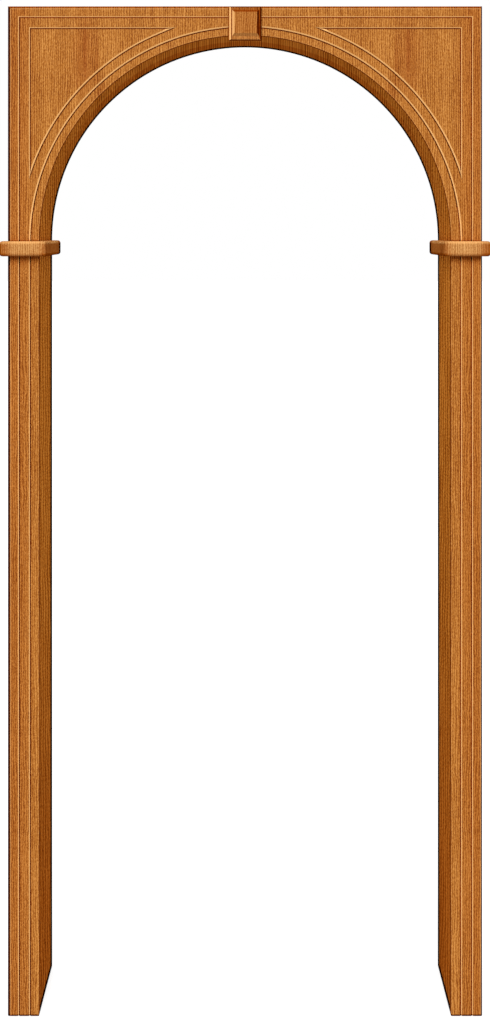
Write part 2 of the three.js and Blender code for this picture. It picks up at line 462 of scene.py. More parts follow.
@dataclass(frozen=True)
class BeechVeneer:
    """Steamed beech under a satin lacquer.

    It gives the eye a red-brown ground with short fine flecks, fine upright lines of pores and soft broad
    bands, a little shine, darker edges, and the painted shade, shadows and highlights that its faces hold.
    """

    name: str
    light: str
    middle: str
    dark: str
    # The colour of the painted highlights.
    lit: str = "#fbbd76"
    roughness: float = 0.5
    specular: float = 0.04
    streak_height_mm: float = 0.05
    contrast: float = 1.0
    outer_tint: str = "#ffffff"
    figures: tuple[Figure, ...] = ()
    # Whether it takes the painted shadow under the imposts and the painted dark line over them.
    shaded: bool = False
    # How dark the painted shade towards the foot is, near the floor.
    foot_stain: float = 0.0
    # How far the lines of pores waver, as an angle of their own wave.
    pore_waver: float = 16.0

    # Beech rays are about 0.5 mm wide and 3 mm long, and its pores finer still. They are drawn some two
    # times as coarse so that they show at the distance of the picture.
    BAND_MM = (26.0, 26.0, 480.0)
    STREAK_MM = (1.2, 1.2, 90.0)
    FLECK_MM = (1.1, 1.1, 4.2)
    # The lines of pores stand about 1 mm apart, and are drawn 4.8 mm apart for the same reason.
    PORE_LINES_MM = 4.8
    PORE_WAVER_MM = (20.0, 20.0, 110.0)
    WAVE_MM = (60.0, 60.0, 90.0)
    WAVE_REACH_MM = 4.0
    NOISE_ROUGHNESS = 0.55
    BAND_SHARE, STREAK_SHARE, FLECK_SHARE, PORE_SHARE = 0.65, 1.3, 2.5, 0.6
    # The two leaves of veneer meet a little right of the middle, in metres.
    BOOK_SHIFT = -0.0033
    # Distances from the middle, in metres, between which the veneer turns redder.
    WARM_SPAN = (0.452, 0.49)
    FIGURE_TINT = "#dab692"
    FIGURE_FRAY = (0.9, 1.7)
    # What the darkness, from painted shade and darker edges, leaves of the colour under it: none, half,
    # most, and black.
    STAIN_STOPS = ((0.0, "#ffffff"), (0.5, "#cd994e"), (0.8, "#a2600f"), (1.0, "#2c0700"))
    # The painted shadow under the imposts, which runs on behind them into a painted dark line just
    # over their tops, grows over the first heights and ends over the second, in metres.
    IMPOST_STAIN, IMPOST_STAIN_SPAN, IMPOST_CLEAR_SPAN = 0.42, (1.634, 1.664), (1.6938, 1.6952)
    # Heights, in metres, over which the painted shade towards the foot fades out.
    FOOT_STAIN_SPAN = (0.1, 1.1)
    # The lacquer has no shine left where the veneer is painted this dark.
    DULL_STAIN = 0.3
    ROUGHNESS_REACH = 0.1

    def noise(self, tree: bpy.types.NodeTree, where: bpy.types.NodeSocket, size_mm: Sequence[float],
              detail: float) -> bpy.types.NodeSocket:
        """Noise of a real size along the three directions of the veneer.

        Args:
            tree: The material's node tree.
            where: The place in the veneer.
            size_mm: Size of the pattern across, in depth and along, in millimetres.
            detail: How many finer layers it has.

        Returns:
            The noise, about 0.5.
        """
        scale = tuple(1 / (mm * MM) for mm in size_mm)
        stretched = add_node(tree, "ShaderNodeVectorMath", {"operation": "MULTIPLY"}, {0: where, 1: scale})
        noise = add_node(tree, "ShaderNodeTexNoise", {"noise_dimensions": "3D"},
                         {"Vector": stretched.outputs[0], "Scale": 1.0, "Detail": detail,
                          "Roughness": self.NOISE_ROUGHNESS})
        return noise.outputs["Fac"]

    def make(self) -> bpy.types.Material:
        """Builds the material.

        Returns:
            The material.
        """
        material, tree, shader = new_material(self.name)
        grain = add_node(tree, "ShaderNodeAttribute", {"attribute_name": "grain"}, {}).outputs["Vector"]
        where, waved = self.leaves(tree, grain)
        bands = self.noise(tree, waved, self.BAND_MM, 3.0)
        streaks = self.noise(tree, waved, self.STREAK_MM, 3.0)
        flecks = self.noise(tree, waved, self.FLECK_MM, 2.0)
        pores = self.pore_lines(tree, waved)
        figure = self.mixed_layers(tree, (bands, streaks, flecks, pores))
        ramp = add_node(tree, "ShaderNodeValToRGB", {}, {"Fac": figure})
        self.set_stops(ramp, ((0.0, self.dark), (0.5, self.middle), (1.0, self.light)))
        colour = self.warm_outside(tree, grain, ramp.outputs["Color"])
        for patch in self.figures:
            colour = self.add_figure(tree, where, streaks, colour, patch)
        stain = self.stain(tree, where)
        tree.links.new(self.toned(tree, colour, flecks, stain), shader.inputs["Base Color"])
        self.lacquer(tree, shader, streaks, flecks, stain)
        return material

    def leaves(self, tree: bpy.types.NodeTree,
               grain: bpy.types.NodeSocket) -> tuple[bpy.types.NodeSocket, bpy.types.NodeSocket]:
        """Lays two leaves of veneer side by side, of which one mirrors the other.

        Args:
            tree: The material's node tree.
            grain: The place in the sheet, as the mesh holds it.

        Returns:
            The place in a leaf, and that place swayed aside with the slow wave of the grain.
        """
        shifted = add_node(tree, "ShaderNodeVectorMath", {"operation": "ADD"},
                           {0: grain, 1: (self.BOOK_SHIFT, 0.0, 0.0)})
        book = add_node(tree, "ShaderNodeVectorMath", {"operation": "ABSOLUTE"}, {0: shifted.outputs[0]})
        where = book.outputs[0]
        reach = self.WAVE_REACH_MM * MM
        sway = compute(tree, "MULTIPLY_ADD", self.noise(tree, where, self.WAVE_MM, 2.0), 2 * reach, -reach)
        aside = add_node(tree, "ShaderNodeCombineXYZ", {}, {"X": sway})
        swayed = add_node(tree, "ShaderNodeVectorMath", {"operation": "ADD"},
                          {0: where, 1: aside.outputs[0]})
        return where, swayed.outputs[0]

    def pore_lines(self, tree: bpy.types.NodeTree, where: bpy.types.NodeSocket) -> bpy.types.NodeSocket:
        """The fine upright lines of pores, which waver.

        Args:
            tree: The material's node tree.
            where: The place in the veneer.

        Returns:
            Light between the lines, 1, to dark on them, 0.
        """
        waver = self.noise(tree, where, self.PORE_WAVER_MM, 2.0)
        across = add_node(tree, "ShaderNodeSeparateXYZ", {}, {"Vector": where}).outputs["X"]
        turn = compute(tree, "MULTIPLY", waver, self.pore_waver)
        phase = compute(tree, "MULTIPLY_ADD", across, math.tau / (self.PORE_LINES_MM * MM), turn)
        return compute(tree, "MULTIPLY_ADD", compute(tree, "SINE", phase), 0.5, 0.5)

    def mixed_layers(self, tree: bpy.types.NodeTree,
                     layers: Sequence[bpy.types.NodeSocket]) -> bpy.types.NodeSocket:
        """Adds the layers of the grain up to one value from 0, dark, to 1, light.

        Args:
            tree: The material's node tree.
            layers: The broad bands, the fine streaks, the short flecks and the lines of pores.

        Returns:
            The value.
        """
        all_shares = (self.BAND_SHARE, self.STREAK_SHARE, self.FLECK_SHARE, self.PORE_SHARE)
        shares = [self.contrast * share for share in all_shares]
        # Every layer is about one half, and so is the sum.
        total: bpy.types.NodeSocket | float = 0.5 - 0.5 * sum(shares)
        for layer, share in zip(layers, shares):
            total = compute(tree, "MULTIPLY_ADD", layer, share, total)
        return total

    @staticmethod
    def set_stops(ramp: bpy.types.Node, stops: Sequence[tuple[float, str]]) -> None:
        """Sets the colours of a ramp.

        Args:
            ramp: The colour ramp.
            stops: Position and colour of each stop, from 0 to 1.
        """
        elements = ramp.color_ramp.elements
        elements[0].position, elements[0].color = stops[0][0], linear(stops[0][1])
        elements[1].position, elements[1].color = stops[-1][0], linear(stops[-1][1])
        for position, colour in stops[1:-1]:
            elements.new(position).color = linear(colour)

    def warm_outside(self, tree: bpy.types.NodeTree, grain: bpy.types.NodeSocket,
                     colour: bpy.types.NodeSocket) -> bpy.types.NodeSocket:
        """Makes the veneer redder towards the outer edges of the boards, as in the picture.

        Args:
            tree: The material's node tree.
            grain: The place in the sheet.
            colour: The colour so far.

        Returns:
            The colour.
        """
        across = add_node(tree, "ShaderNodeSeparateXYZ", {}, {"Vector": grain}).outputs["X"]
        share = remap(tree, compute(tree, "ABSOLUTE", across), self.WARM_SPAN)
        return blend(tree, "MULTIPLY", share, colour, linear(self.outer_tint))

    def add_figure(self, tree: bpy.types.NodeTree, where: bpy.types.NodeSocket,
                   streaks: bpy.types.NodeSocket, colour: bpy.types.NodeSocket,
                   figure: Figure) -> bpy.types.NodeSocket:
        """Draws one patch of redder wood.

        Args:
            tree: The material's node tree.
            where: The place in the veneer.
            streaks: The fine streaks, which fray its edge.
            colour: The colour so far.
            figure: The patch.

        Returns:
            The colour.
        """
        offset = add_node(tree, "ShaderNodeVectorMath", {"operation": "SUBTRACT"},
                          {0: where, 1: figure.centre})
        scaled = add_node(tree, "ShaderNodeVectorMath", {"operation": "DIVIDE"},
                          {0: offset.outputs[0], 1: figure.half_size})
        far = add_node(tree, "ShaderNodeVectorMath", {"operation": "LENGTH"}, {0: scaled.outputs[0]})
        frayed = compute(tree, "ADD", far.outputs["Value"], streaks)
        share = remap(tree, frayed, self.FIGURE_FRAY, (figure.strength, 0.0), smooth=True)
        return blend(tree, "MULTIPLY", share, colour, linear(self.FIGURE_TINT))

    def stain(self, tree: bpy.types.NodeTree, where: bpy.types.NodeSocket) -> bpy.types.NodeSocket:
        """How dark the veneer is painted: the painted shade and darker edges of the strips, the painted
        shadow at the imposts and the painted shade towards the foot.

        Args:
            tree: The material's node tree.
            where: The place in the veneer.

        Returns:
            From 0, none, to 1, black.
        """
        height = add_node(tree, "ShaderNodeSeparateXYZ", {}, {"Vector": where}).outputs["Z"]
        gathered = compute(tree, "MULTIPLY", face_value(tree, "tone"), -1.0, clamp=True)
        # Painted shadow under the imposts and a painted dark line just over them.
        if self.shaded:
            below = remap(tree, height, self.IMPOST_STAIN_SPAN, (0.0, self.IMPOST_STAIN), smooth=True)
            above = remap(tree, height, self.IMPOST_CLEAR_SPAN, (1.0, 0.0))
            gathered = compute(tree, "ADD", gathered, compute(tree, "MULTIPLY", below, above), clamp=True)
        # Painted shade, darker towards the foot.
        if self.foot_stain > 0:
            foot = remap(tree, height, self.FOOT_STAIN_SPAN, (self.foot_stain, 0.0), smooth=True)
            gathered = compute(tree, "ADD", gathered, foot, clamp=True)
        return gathered

    def toned(self, tree: bpy.types.NodeTree, colour: bpy.types.NodeSocket, flecks: bpy.types.NodeSocket,
              stain: bpy.types.NodeSocket) -> bpy.types.NodeSocket:
        """Darkens the veneer by its painted shade and darker edges, and adds the painted highlights.

        Args:
            tree: The material's node tree.
            colour: The colour so far.
            flecks: Noise that breaks up the painted highlights on the arrises.
            stain: How dark the veneer is painted.

        Returns:
            The colour.
        """
        rubbed = compute(tree, "MULTIPLY", face_value(tree, "wear"), flecks)
        # Positive tones and the arris highlights are painted highlights.
        paler = compute(tree, "ADD", face_value(tree, "tone"), rubbed, clamp=True)
        lit = blend(tree, "MIX", paler, colour, linear(self.lit))
        left = add_node(tree, "ShaderNodeValToRGB", {}, {"Fac": stain})
        self.set_stops(left, self.STAIN_STOPS)
        return blend(tree, "MULTIPLY", 1.0, lit, left.outputs["Color"])

    def lacquer(self, tree: bpy.types.NodeTree, shader: bpy.types.Node, streaks: bpy.types.NodeSocket,
                flecks: bpy.types.NodeSocket, stain: bpy.types.NodeSocket) -> None:
        """Gives the shader the satin of the lacquer, dull where the veneer is painted dark, and the faint
        relief of the grain.

        Args:
            tree: The material's node tree.
            shader: The Principled shader.
            streaks: The fine streaks.
            flecks: The short flecks.
            stain: How dark the veneer is painted.
        """
        gloss = remap(tree, stain, (0.0, self.DULL_STAIN), (self.specular, 0.0))
        tree.links.new(gloss, shader.inputs["Specular IOR Level"])
        least, most = self.roughness - self.ROUGHNESS_REACH, self.roughness + self.ROUGHNESS_REACH
        tree.links.new(remap(tree, streaks, (0.0, 1.0), (least, most)), shader.inputs["Roughness"])
        height = compute(tree, "ADD", streaks, flecks)
        bump = add_node(tree, "ShaderNodeBump", {},
                        {"Strength": 0.5, "Distance": self.streak_height_mm * MM, "Height": height})
        tree.links.new(bump.outputs["Normal"], shader.inputs["Normal"])
        shader.inputs["IOR"].default_value = 1.5


@dataclass(frozen=True)
class FibreBacking:
    """The raw sanded fibreboard behind the veneer: dull tan with pale and dark specks, no gloss."""

    name: str = "raw_fibreboard"
    ground: str = "#a98a66"
    speck: str = "#8a6a48"

    def make(self) -> bpy.types.Material:
        """Builds the material.

        Returns:
            The material.
        """
        material, tree, shader = new_material(self.name)
        where = add_node(tree, "ShaderNodeTexCoord", {}, {}).outputs["Object"]
        # Fibres are some 0.1 mm thick; the specks are bundles of them, drawn 2.5 mm across to be seen.
        specks = add_node(tree, "ShaderNodeTexNoise", {}, {"Vector": where, "Scale": 400.0, "Detail": 4.0})
        clouds = add_node(tree, "ShaderNodeTexNoise", {}, {"Vector": where, "Scale": 9.0, "Detail": 3.0})
        both = compute(tree, "MULTIPLY_ADD", clouds.outputs["Fac"], 0.5, specks.outputs["Fac"])
        share = remap(tree, both, (0.45, 1.0))
        colour = blend(tree, "MIX", share, linear(self.speck), linear(self.ground))
        bump = add_node(tree, "ShaderNodeBump", {}, {"Strength": 0.4, "Distance": 0.1 * MM,
                                                     "Height": specks.outputs["Fac"]})
        tree.links.new(colour, shader.inputs["Base Color"])
        tree.links.new(bump.outputs["Normal"], shader.inputs["Normal"])
        shader.inputs["Roughness"].default_value = 0.9
        return material


@dataclass(frozen=True)
class PaleFloor:
    """Matt white studio floor with a faint unevenness."""

    name: str = "studio_floor"
    colour: str = "#b3b3b2"
    shade: str = "#adadac"
    glow: float = 0.68

    def make(self) -> bpy.types.Material:
        """Builds the material.

        Returns:
            The material.
        """
        material, tree, shader = new_material(self.name)
        where = add_node(tree, "ShaderNodeTexCoord", {}, {}).outputs["Object"]
        clouds = add_node(tree, "ShaderNodeTexNoise", {}, {"Vector": where, "Scale": 3.0, "Detail": 3.0})
        colour = blend(tree, "MIX", clouds.outputs["Fac"], linear(self.shade), linear(self.colour))
        tree.links.new(colour, shader.inputs["Base Color"])
        shader.inputs["Roughness"].default_value = 0.9
        shader.inputs["Specular IOR Level"].default_value = 0.0
        # The picture's ground is blown out to white, which its light on the wood is not.
        ray = add_node(tree, "ShaderNodeLightPath", {}, {})
        glow = remap(tree, ray.outputs["Is Camera Ray"], (0.0, 1.0), (0.0, self.glow))
        shader.inputs["Emission Color"].default_value = (1.0, 1.0, 1.0, 1.0)
        tree.links.new(glow, shader.inputs["Emission Strength"])
        return material


@dataclass(frozen=True)
class Finishes:
    """Every material of the object, made once."""

    face: bpy.types.Material
    keystone: bpy.types.Material
    impost: bpy.types.Material
    lining: bpy.types.Material
    backing: bpy.types.Material

    @classmethod
    def make(cls) -> "Finishes":
        """Builds the materials.

        Returns:
            The materials.
        """
        # The same beech takes other colours on each piece: the impost's and the lining's are brighter copies
        # of the face's, painted light, and the keystone has its own colour for painted highlights.
        return cls(
            face=BeechVeneer("beech_veneer_face", light="#d3914a", middle="#af6b28", dark="#7d3d10",
                             contrast=0.88, outer_tint="#f4e5d6", shaded=True,
                             figures=SPANDREL_FIGURES).make(),
            keystone=BeechVeneer("beech_keystone", light="#c88642", middle="#a76224", dark="#7e3f0e",
                                 lit="#ffc078", contrast=0.85).make(),
            impost=BeechVeneer("beech_impost", light="#dca566", middle="#c18347", dark="#995c29",
                               contrast=0.95, specular=0.0).make(),
            lining=BeechVeneer("beech_veneer_lining", light="#f09b40", middle="#c36f20", dark="#823c09",
                               contrast=0.9, specular=0.0, foot_stain=0.3, pore_waver=5.0).make(),
            backing=FibreBacking().make(),
        )


@dataclass(frozen=True)
class BoardSection:
    """Section through a face board, from its outer edge to the opening, with the sizes of its details.

    Its points are set out as in a drawing, by their distances from the outer edge and from the face.
    """

    width: float
    wall_y: float
    face_y: float
    rebate_width: float
    routed: bool
    rebate_depth: float = 3 * MM
    line_width: float = 5 * MM
    line_depth: float = 1.6 * MM
    line_lip: float = 0.4 * MM
    curved_growth: float = 0.3 * MM
    # Distances of the middles of the routed lines from the outer edge.
    outer_line: float = 23 * MM
    inner_line: float = 47 * MM
    # Where the outer arris and the strip beside it that takes a painted highlight end.
    arris_end: float = 4.0 * MM
    rubbed_end: float = 5.8 * MM

    def outer_edge(self) -> list[Station]:
        """The outer side and its eased arris.

        Returns:
            Their stations, from the wall to the face.
        """
        face = -self.face_y
        return [
            Station(0.0, -self.wall_y, surface=Surface.BACKING),
            Station(0.0, face + 1.8 * MM, Shade.SIDE),
            Station(1.4 * MM, face + 0.6 * MM, Shade.BLACKENED),
            Station(self.arris_end, face, Shade.OUTER_ARRIS, drifts=True),
            # A painted highlight beside the dark arris.
            Station(self.rubbed_end, face, Shade.RUBBED, drifts=True),
        ]

    def line(self, middle: float, curved: bool = False) -> list[Station]:
        """A routed line.

        Args:
            middle: Its distance from the outer edge.
            curved: Whether it is an arc, which the cutter leaves with two walls as wide as each other.

        Returns:
            Its stations, from the outside.
        """
        half, y = self.line_width / 2, -self.face_y
        lip_y = y + 0.1 * MM
        if curved:
            half += self.curved_growth
            return [
                Station(middle - half, y, drifts=True),
                Station(middle - half + 0.1 * MM, y + 0.05 * MM, drifts=True),
                Station(middle, y + self.line_depth, Shade.ROUTED, drifts=True),
                Station(middle + half - 0.2 * MM, lip_y, Shade.ROUTED, drifts=True),
                Station(middle + half, y, Shade.ROUTED, drifts=True),
            ]
        return [
            Station(middle - half, y, drifts=True),
            Station(middle - half + 0.7 * MM, y + 0.2 * MM, drifts=True),
            Station(middle - 0.2 * MM, y + self.line_depth, Shade.ROUTED, drifts=True),
            Station(middle + half - self.line_lip, lip_y, Shade.ROUTED, drifts=True),
            Station(middle + half, y, Shade.ROUTED, drifts=True),
        ]

    def opening_edge(self) -> list[Station]:
        """The eased arris at the opening, the edge and the rebate behind it.

        Returns:
            Their stations, from the face to the wall.
        """
        face, side = -self.face_y, Shade.EASED if self.routed else Shade.BLACKENED
        seat = -self.wall_y - self.rebate_depth
        return [
            Station(self.width - 1.8 * MM, face),
            # The eased arris at the opening takes a painted highlight.
            Station(self.width - 0.4 * MM, face + 0.1 * MM, Shade.PLAIN, 0.25),
            Station(self.width, face + 0.5 * MM, side),
            Station(self.width, seat, side),
            Station(self.width - self.rebate_width, seat, surface=Surface.BACKING),
            Station(self.width - self.rebate_width, -self.wall_y, surface=Surface.BACKING),
        ]

    def lines(self) -> list[list[Station]]:
        """The routed lines, if it has them."""
        return [self.line(self.outer_line), self.line(self.inner_line)] if self.routed else []


@dataclass
class FaceBoards:
    """The arched head board and the two side boards of one side of the wall."""

    doorway: Doorway
    routed: bool
    place: str
    head_rebate: float = 8.3 * MM
    side_rebate: float = 10.3 * MM
    spandrel_band: float = 22 * MM
    foot_line: float = 3.2 * MM
    veneer_shift: float = 3.0
    # The routed lines stand this much to the right of the middle and lower, as they do in the picture.
    drift: Flat = (1.1 * MM, -0.65 * MM)
    # The routed arcs hang this much lower still, and the one along the opening is this much nearer to it.
    arc_sag: float = -1.4 * MM
    arc_inset: float = 0.7 * MM
    # A point of the figure in a spandrel that is further than this from its straight sides is on its arc.
    figure_corner: float = 4 * MM

    # The painted shade on the dark wall of a routed line: everywhere, in the lines at the top, and in
    # the arcs; the other wall takes a painted highlight.
    ROUTED_STAIN, TOP_STAIN, ARC_STAIN = 0.87, 0.76, 0.92
    # How much less of it the upright lines of the right half hold, and how far down the top reaches.
    RIGHT_EASE, TOP_REACH = 0.15, 30 * MM
    # A wall whose normal leans to the side by a share between these is in an arc.
    ARC_LEAN = (0.1, 0.985)
    # The tone of the outer arris, the tone of the one at the top, and how far down that one reaches.
    ARRIS_TONE, TOP_ARRIS_TONE, TOP_ARRIS_REACH = -0.92, -0.4, 4.5 * MM
    # What the first millimetres above the floor add to the tone.
    FOOT_TONE = -0.9

    def section(self, rebate: float) -> BoardSection:
        """The section of the boards with that rebate."""
        door = self.doorway
        return BoardSection(door.board_width, door.wall_y, door.face_y, rebate, self.routed)

    def veneer(self, place: Vector) -> Vector:
        """Where a point is in the sheet of veneer; the far side has another sheet."""
        return place if self.routed else place + Vector((0, 0, self.veneer_shift))

    def tone(self, shade: Shade, corners: Sequence[Vector]) -> float:
        """The tone of a strip, which on some depends on the way that it faces, as painted light and shade.

        Args:
            shade: Its shade.
            corners: Three or more of its corners.

        Returns:
            From -1, black, to 1, the full painted highlight.
        """
        normal = (corners[1] - corners[0]).cross(corners[2] - corners[0])
        normal = -normal if normal.y > 0 else normal
        # A routed wall that faces the middle of the doorway takes a painted highlight, the other painted
        # shade.
        if shade is Shade.ROUTED:
            inward = Vector((0, 0, self.doorway.spring_z)) - corners[0]
            inward.y = 0
            lean = abs(normal.x) / normal.xz.length
            deep = self.ROUTED_STAIN
            if corners[0].x > 0:
                deep -= self.RIGHT_EASE * lean
            if corners[0].z > self.doorway.top_z - self.TOP_REACH:
                deep = self.TOP_STAIN
            if self.ARC_LEAN[0] < lean < self.ARC_LEAN[1]:
                deep = self.ARC_STAIN
            return 1.0 if normal.dot(inward) > 0 else -deep
        top_arris = corners[0].z > self.doorway.top_z - self.TOP_ARRIS_REACH
        if top_arris and shade in (Shade.OUTER_ARRIS, Shade.BLACKENED):
            return self.TOP_ARRIS_TONE if abs(normal.z) > abs(normal.x) else self.ARRIS_TONE
        return self.ARRIS_TONE if shade is Shade.OUTER_ARRIS else float(shade.value)

    def drifted(self, path: Sequence[Flat], closed: bool = False, sag: float = 0.0) -> list[Flat]:
        """Moves a path by the drift; an open one keeps the height of its ends at the foot.

        Args:
            path: The path.
            closed: Whether it is closed.
            sag: What its height changes by as well.

        Returns:
            The moved path.
        """
        across, up = self.drift
        moved = [(x + across, z + up + sag) for x, z in path]
        if not closed:
            moved[0], moved[-1] = (moved[0][0], path[0][1]), (moved[-1][0], path[-1][1])
        return moved

    def sweep(self, shell: Shell, rows: Sequence[Sequence[Flat]], stations: Sequence[Station],
              closed: bool = False) -> list[list[int]]:
        """Joins the rows that a section draws along its path.

        Args:
            shell: The piece.
            rows: One row of points in the plane of the wall for each station.
            stations: The stations.
            closed: Whether the path is closed.

        Returns:
            The indices of each row.
        """
        indices = []
        for row, station in zip(rows, stations):
            places = [Vector((x, station.y, z)) for x, z in row]
            indices.append([shell.point(p, self.veneer(p)) for p in places])
        for before, after, station in zip(indices, indices[1:], stations[1:]):
            count = len(before)
            for i in range(count if closed else count - 1):
                j = (i + 1) % count
                corners = (before[i], before[j], after[j], after[i])
                tone = self.tone(station.shade, [shell.points[c] for c in corners])
                shell.face(corners, Strip(tone, station.wear, station.surface))
        return indices

    def spandrel(self, side: int) -> list[Flat]:
        """The middle of the routed figure in one spandrel.

        Args:
            side: -1 for the left one or 1 for the right one.

        Returns:
            The closed path, with its inside on the right of travel.
        """
        door, section = self.doorway, self.section(self.head_rebate)
        x = door.outer_x - section.inner_line
        z = door.top_z - section.inner_line
        radius = x + self.spandrel_band
        low, high = math.acos(x / radius), math.asin((z - door.spring_z) / radius)
        arc = door.arc(radius, math.pi - high, math.pi - low, SPANDREL_ARC_STEPS)
        loop = [(-x, z), *arc]
        return loop if side < 0 else [(-px, pz) for px, pz in reversed(loop)]

    def head(self, finishes: Finishes) -> bpy.types.Object:
        """The arched head board.

        Args:
            finishes: The materials.

        Returns:
            The piece.
        """
        door, section = self.doorway, self.section(self.head_rebate)
        foot = door.joint_z + GLUE_LINE / 2
        outer, arch = door.outer_path(foot), door.arch_path(foot)
        shell = Shell(f"head_board_{self.place}")

        def outside(station: Station) -> list[Flat]:
            """The path of a station that follows the outside."""
            path = parallel(outer, station.across)
            return self.drifted(path) if station.drifts else path

        def inside(station: Station) -> list[Flat]:
            """The path of a station that follows the opening."""
            path = parallel(arch, station.across - section.width)
            return self.drifted(path, sag=self.arc_sag) if station.drifts else path

        edge, opening = section.outer_edge(), section.opening_edge()
        rows = self.sweep(shell, [outside(s) for s in edge], edge)
        if self.routed:
            first = section.line(section.outer_line)
            second = section.line(section.inner_line + self.arc_inset, curved=True)
            first_rows = self.sweep(shell, [outside(s) for s in first], first)
            second_rows = self.sweep(shell, [inside(s) for s in second], second)
            holes = [self.cut_figure(shell, side, section) for side in (-1, 1)]
            self.between(shell, rows[-1], first_rows[0], Strip())
            self.between(shell, first_rows[-1], second_rows[0], Strip(), holes)
            rows += first_rows + second_rows
        opening_rows = self.sweep(shell, [inside(s) for s in opening], opening)
        self.between(shell, rows[-1], opening_rows[0], Strip())
        self.between(shell, rows[0], opening_rows[-1], Strip(surface=Surface.BACKING))
        rows += opening_rows
        for end in (0, -1):
            shell.fill([[row[end] for row in rows]], Strip(tone=Shade.SIDE.value))
        return shell.build((finishes.face, finishes.backing), turned=not self.routed)

    def cut_figure(self, shell: Shell, side: int, section: BoardSection) -> list[int]:
        """Routes the figure of one spandrel and fills its field.

        Args:
            shell: The head board.
            side: -1 for the left one or 1 for the right one.
            section: The section of the board.

        Returns:
            The indices of its outer outline, a hole in the face around it.
        """
        stations = section.line(0.0)
        rows = self.sweep(shell, self.figure_rows(self.spandrel(side), section), stations, closed=True)
        shell.fill([rows[-1]], Strip())
        return rows[0]

    def figure_rows(self, loop: Sequence[Flat], section: BoardSection) -> list[list[Flat]]:
        """The rows of the figure in a spandrel, of which the arc is cut as the arc along the opening is.

        Args:
            loop: The middle of the routed line.
            section: The section of the board.

        Returns:
            One closed row for each station of the line.
        """
        clear = section.inner_line + self.figure_corner
        x_end, z_end = self.doorway.outer_x - clear, self.doorway.top_z - clear
        rows = []
        for fine, broad in zip(section.line(0.0), section.line(0.0, curved=True)):
            straight = self.drifted(parallel(loop, fine.across, closed=True), closed=True)
            curved = self.drifted(parallel(loop, broad.across, closed=True), closed=True, sag=self.arc_sag)
            on_arc = [abs(x) < x_end and z < z_end for x, z in loop]
            rows.append([c if arc else s for arc, s, c in zip(on_arc, straight, curved)])
        return rows

    @staticmethod
    def between(shell: Shell, first: Sequence[int], second: Sequence[int], strip: Strip,
                holes: Sequence[Sequence[int]] = ()) -> None:
        """Fills the flat between two open rows that both end at the foot.

        Args:
            shell: The head board.
            first: One row.
            second: The other row, which travels the same way.
            strip: How the flat looks.
            holes: Outlines left open in it.
        """
        shell.fill([[*first, *reversed(second)], *holes], strip)

    def side_board(self, side: int, finishes: Finishes) -> bpy.types.Object:
        """One side board.

        Args:
            side: -1 for the left one or 1 for the right one, as the board itself faces.
            finishes: The materials.

        Returns:
            The piece.
        """
        door, section = self.doorway, self.section(self.side_rebate)
        routed = [station for line in section.lines() for station in line]
        stations = [*section.outer_edge(), *routed, *section.opening_edge()]
        shell = Shell(f"side_board_{self.place}_{'left' if side < 0 else 'right'}")
        rings = []
        for z in (0.0, self.foot_line, door.joint_z - GLUE_LINE / 2):
            places = [Vector((side * (door.outer_x - s.across) + s.drifts * self.drift[0], s.y, z))
                      for s in stations]
            rings.append([shell.point(p, self.veneer(p)) for p in places])
        for low, high, end_tone in ((rings[0], rings[1], self.FOOT_TONE), (rings[1], rings[2], 0.0)):
            for i, station in enumerate(stations):
                corners = (low[i - 1], low[i], high[i], high[i - 1])
                tone = self.tone(station.shade, [shell.points[c] for c in corners]) + end_tone
                strip = Strip(max(-1.0, tone), station.wear, station.surface)
                shell.face(corners, strip)
        for ring in (rings[0], rings[-1]):
            shell.fill([ring], Strip(tone=Shade.SIDE.value))
        return shell.build((finishes.face, finishes.backing), turned=not self.routed)


